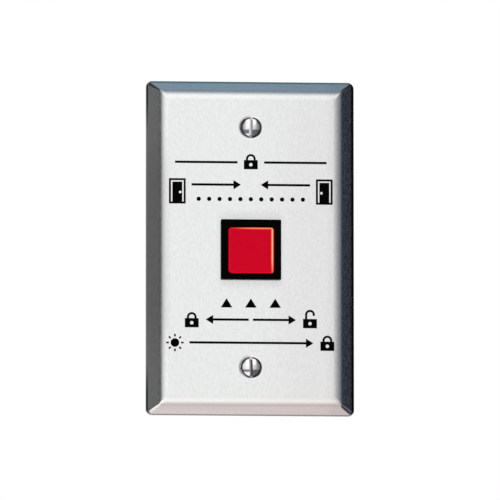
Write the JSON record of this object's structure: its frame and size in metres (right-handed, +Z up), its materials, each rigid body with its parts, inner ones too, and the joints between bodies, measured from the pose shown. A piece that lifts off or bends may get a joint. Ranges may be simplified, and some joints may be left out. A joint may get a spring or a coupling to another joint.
{
  "type": "door release button",
  "caption": "Lit square push button with a red lens and black bezel, snapped into a bevelled stainless single-gang wall plate with oval-head screws.",
  "frame": {"origin": "on the wall plane, midway between the two screws", "axes": "+Z up, +X right, the button faces -Y and is pressed towards +Y"},
  "size_m": [0.072, 0.0326, 0.116],
  "materials": {
    "stainless_plate": "satin stainless, fine vertical grain",
    "polished_steel": "polished",
    "black_plastic": "smooth moulded black",
    "base_plastic": "glass-filled moulded black",
    "red_lens": "polished translucent red",
    "white_plastic": "translucent white",
    "carrier_plastic": "natural acetal",
    "spring_steel": "drawn wire and strip",
    "copper_alloy": "rolled phosphor bronze",
    "tinned_brass": "tin plated",
    "silver": "silver contact",
    "lamp_glass": "clear",
    "lamp_brass": "bright",
    "lamp_ceramic": "dark glass filling",
    "lamp_wire": "drawn wire",
    "solder": "dull solder"
  },
  "bodies": {
    "station": {"faceplate": "stainless_plate", "mounting_screws": "polished_steel", "switch_housing": "black_plastic", "panel_clips": "spring_steel", "terminal_base": "base_plastic", "fixed_contact_tips": "silver", "normally_open_terminals": "tinned_brass", "normally_closed_terminals": "tinned_brass", "lamp_envelope": "lamp_glass", "lamp_base_shell": "lamp_brass", "lamp_insulator": "lamp_ceramic", "lamp_tip": "solder", "lamp_support_wires": "lamp_wire", "lamp_filament": "lamp_wire", "lamp_centre_terminal": "tinned_brass", "lamp_shell_terminal": "tinned_brass", "return_spring": "spring_steel"},
    "button": {"button_lens": "red_lens", "lens_diffuser": "white_plastic", "button_carrier": "carrier_plastic", "normally_open_bridge": "copper_alloy", "normally_closed_bridge": "copper_alloy", "moving_contact_tips": "silver", "contact_springs": "spring_steel"}
  },
  "joints": [
    {"name": "button_press", "type": "slide", "parent": "station", "child": "button", "axis": [0, 1, 0], "range_m": [0, 0.002], "stiffness_N_per_m": 800, "springref_m": -0.002, "deforming": ["return_spring"]}
  ]
}
